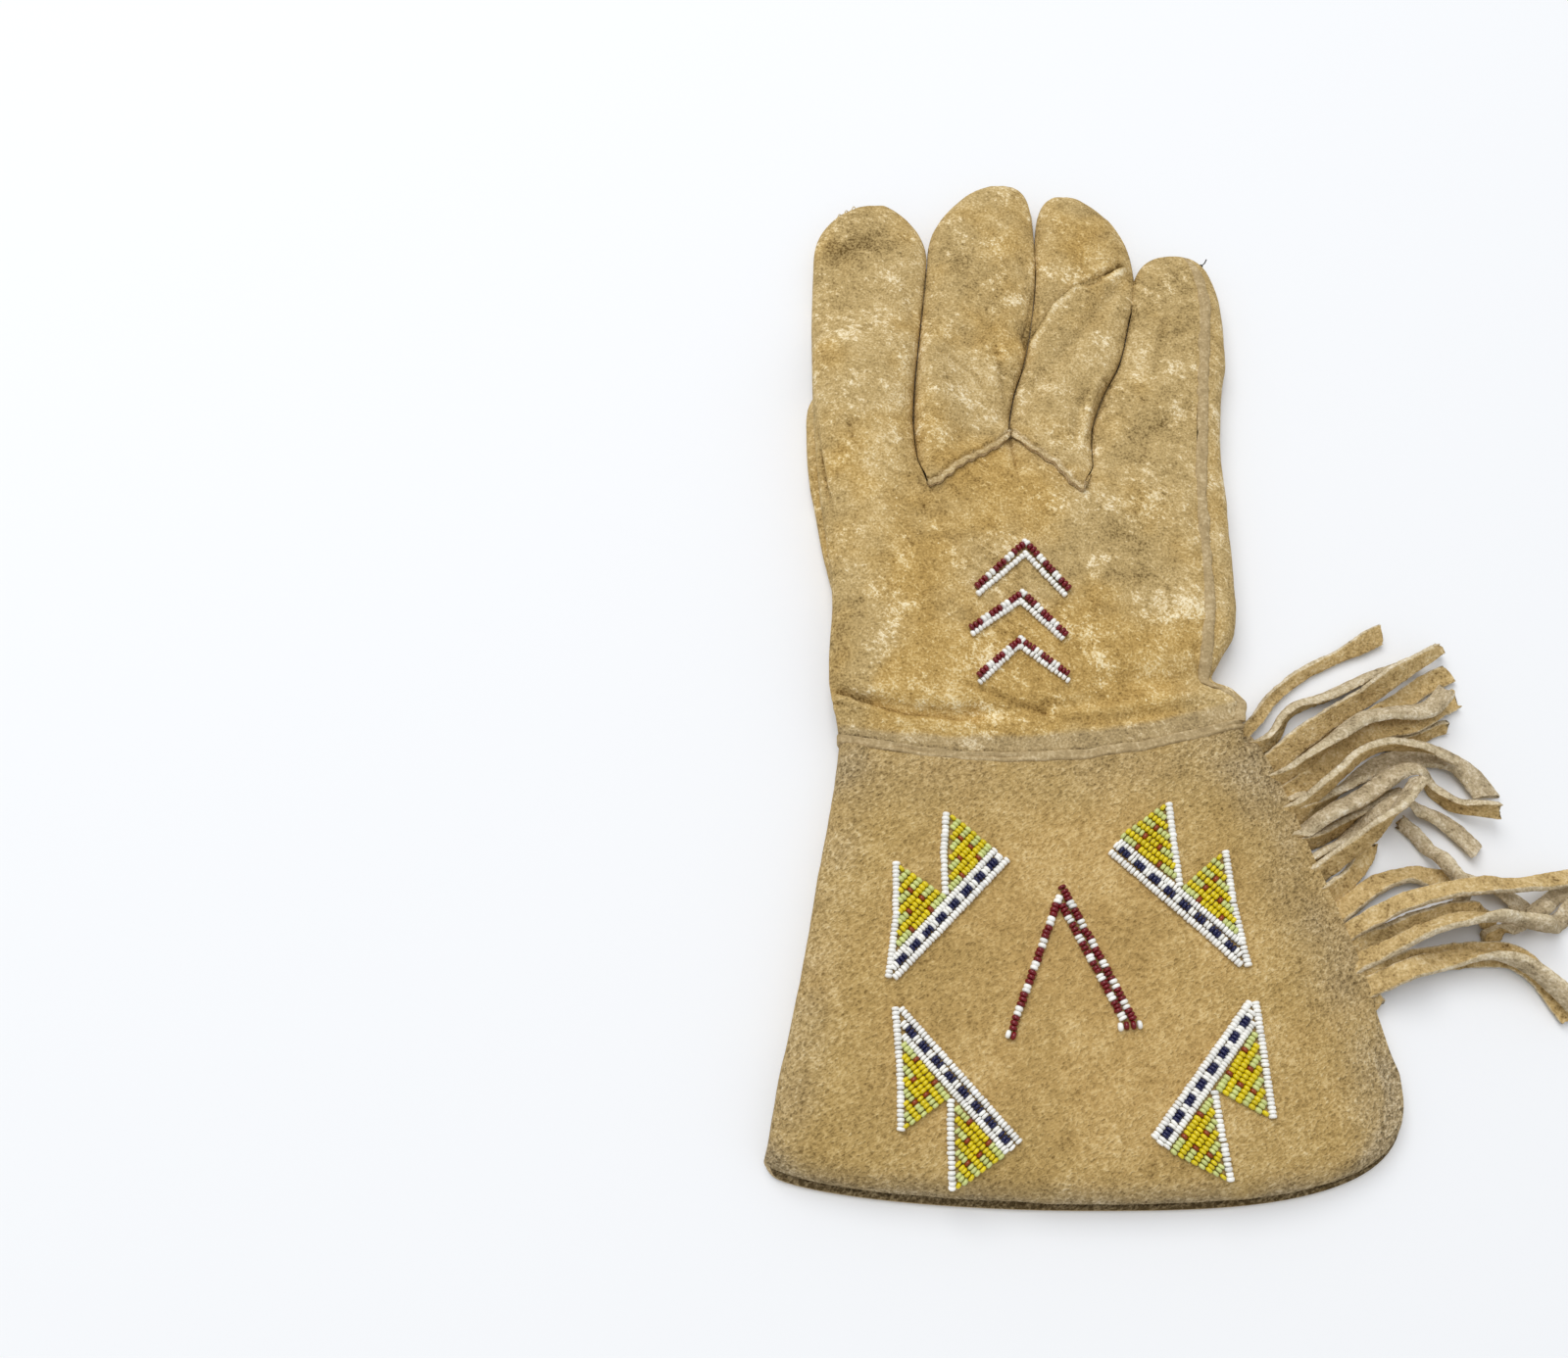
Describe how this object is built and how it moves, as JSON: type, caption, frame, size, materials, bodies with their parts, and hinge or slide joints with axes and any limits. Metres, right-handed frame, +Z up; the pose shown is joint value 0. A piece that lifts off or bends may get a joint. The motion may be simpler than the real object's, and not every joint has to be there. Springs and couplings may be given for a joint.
{
  "type": "gauntlet glove",
  "caption": "Right-hand buckskin gauntlet glove with a flared suede cuff, side fringe and geometric seed beadwork, lying flat",
  "frame": {"origin": "under the middle of the cuff, on its flat underside", "axes": "+X to the little-finger side, +Y to the fingertips, +Z up from the surface that the glove lies on"},
  "size_m": [0.2421, 0.3512, 0.0199],
  "materials": {
    "buckskin": "satin",
    "welt_leather": "matte",
    "suede": "matte",
    "fringe_leather": "matte",
    "glass_beads": "gloss",
    "thread": "matte"
  },
  "bodies": {
    "root": {"hand_back": "buckskin", "middle_finger_back": "buckskin", "ring_finger_back": "buckskin", "palm": "buckskin", "thumb": "buckskin", "side_welt": "welt_leather", "wrist_welt": "welt_leather", "cuff": "suede", "fringe": "fringe_leather"}
  },
  "joints": []
}
